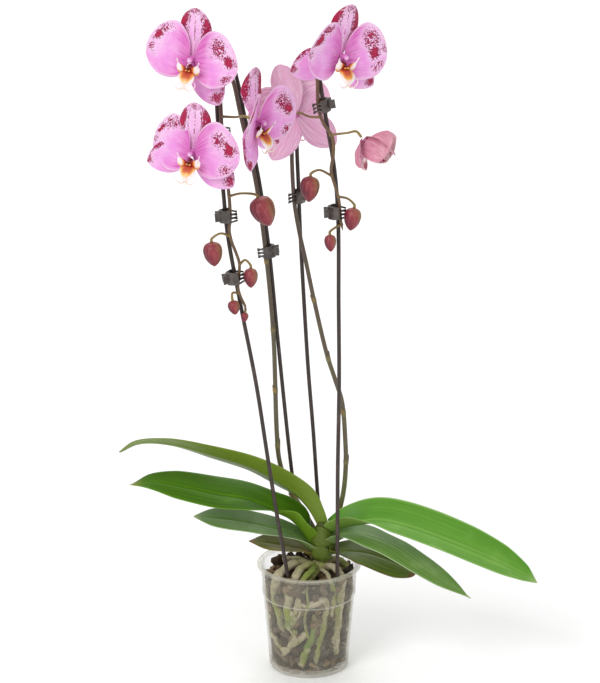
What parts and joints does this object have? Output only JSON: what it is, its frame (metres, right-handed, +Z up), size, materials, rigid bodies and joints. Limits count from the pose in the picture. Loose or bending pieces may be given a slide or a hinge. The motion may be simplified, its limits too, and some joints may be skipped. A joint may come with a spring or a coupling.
{
  "type": "potted orchid",
  "caption": "Cascade-trained moth orchid in a clear tapered nursery pot: strap leaves, bark and roots, two bent hoops with clipped flower stems, blooms and buds",
  "frame": {"origin": "centre of the pot's flat base, on the surface it stands on", "axes": "+Z up, the plant is seen from -Y, its long leaves spread along X"},
  "size_m": [0.474, 0.2059, 0.7851],
  "materials": {
    "pot": "clear injection-moulded plastic, slightly hazed",
    "bark": "rough composted bark chips",
    "roots": "matt silvery root skin with green tips",
    "leaf": "thick waxy leaf, glossy above",
    "hoop": "dark brown plastic-coated wire",
    "stem": "smooth brown-green stem skin",
    "petal": "soft satin petal, spotted crimson",
    "lip": "waxy lip, white, yellow and orange-red",
    "bud": "waxy bud skin, pink-red with olive",
    "clip": "smoky grey-brown moulded plastic"
  },
  "bodies": {
    "root": {"pot": "pot", "bark": "bark", "roots": "roots", "crown": "leaf", "leaf_left_top": "leaf", "leaf_left_long": "leaf", "leaf_left_low": "leaf", "leaf_left_short": "leaf", "leaf_right_long": "leaf", "leaf_right_middle": "leaf", "leaf_right_low": "leaf", "hoop_left": "hoop", "hoop_right": "hoop", "stem_left": "stem", "stem_right": "stem", "bloom_left_top": "petal", "bloom_left_top_lip": "lip", "bloom_left_low": "petal", "bloom_left_low_lip": "lip", "bloom_centre_front": "petal", "bloom_centre_front_lip": "lip", "bloom_centre_back": "petal", "bloom_centre_back_lip": "lip", "bloom_right_top": "petal", "bloom_right_top_lip": "lip", "bloom_right_low": "petal", "bloom_right_low_lip": "lip", "bud_1": "bud", "bud_2": "bud", "bud_3": "bud", "bud_4": "bud", "bud_5": "bud", "bud_6": "bud", "bud_7": "bud", "bud_8": "bud", "clip_1_jaw_a": "clip", "clip_1_jaw_b": "clip", "clip_2_jaw_a": "clip", "clip_2_jaw_b": "clip", "clip_3_jaw_a": "clip", "clip_3_jaw_b": "clip", "clip_4_jaw_a": "clip", "clip_4_jaw_b": "clip", "clip_5_jaw_a": "clip", "clip_5_jaw_b": "clip", "clip_6_jaw_a": "clip", "clip_6_jaw_b": "clip", "clip_7_jaw_a": "clip", "clip_7_jaw_b": "clip", "clip_8_jaw_a": "clip", "clip_8_jaw_b": "clip"}
  },
  "joints": []
}
